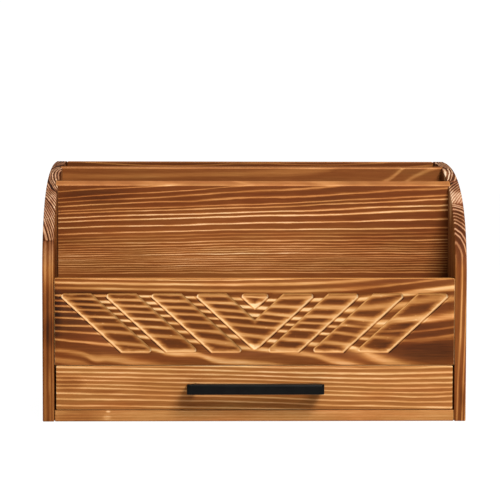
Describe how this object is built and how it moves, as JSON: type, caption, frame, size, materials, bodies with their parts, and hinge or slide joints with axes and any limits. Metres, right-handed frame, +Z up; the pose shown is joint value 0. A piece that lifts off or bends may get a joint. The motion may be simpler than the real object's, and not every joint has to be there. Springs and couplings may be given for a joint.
{
  "type": "envelope sorter with drawer",
  "caption": "Torched-wood desk sorter with curved side panels, a carved chevron front pocket, upright mail slots behind it and a shallow drawer with a black D-shaped pull.",
  "frame": {"origin": "middle of the case's footprint, on the underside of the bottom board", "axes": "+X to the viewer's right along the width, +Y to the back, +Z up; the carved front faces -Y"},
  "size_m": [0.35, 0.1923, 0.212],
  "materials": {
    "torched_wood": "torched softwood under a satin lacquer",
    "plywood": "plain sanded plywood",
    "beech": "plain turned beech",
    "black_coated_metal": "matte black powder coat",
    "zinc_steel": "zinc plated"
  },
  "bodies": {
    "case": {"left_side_panel": "torched_wood", "right_side_panel": "torched_wood", "bottom_board": "torched_wood", "back_panel": "torched_wood", "pocket_floor": "torched_wood", "front_divider": "torched_wood", "middle_divider": "torched_wood", "carved_front_panel": "torched_wood", "bottom_dowel_left_1": "beech", "bottom_dowel_left_2": "beech", "bottom_dowel_right_1": "beech", "bottom_dowel_right_2": "beech", "front_panel_dowel_left_1": "beech", "front_panel_dowel_left_2": "beech", "front_panel_dowel_right_1": "beech", "front_panel_dowel_right_2": "beech", "back_dowel_left_1": "beech", "back_dowel_left_2": "beech", "back_dowel_right_1": "beech", "back_dowel_right_2": "beech"},
    "drawer": {"drawer_front": "torched_wood", "drawer_left_side": "torched_wood", "drawer_right_side": "torched_wood", "drawer_back": "torched_wood", "drawer_bottom": "plywood", "drawer_front_dowel_left": "beech", "drawer_front_dowel_right": "beech", "drawer_back_dowel_left": "beech", "drawer_back_dowel_right": "beech", "drawer_pull": "black_coated_metal", "pull_screw_left": "zinc_steel", "pull_screw_right": "zinc_steel"}
  },
  "joints": [
    {"name": "drawer_slide", "type": "slide", "parent": "case", "child": "drawer", "axis": [0, -1, 0], "range_m": [0, 0.13]}
  ]
}
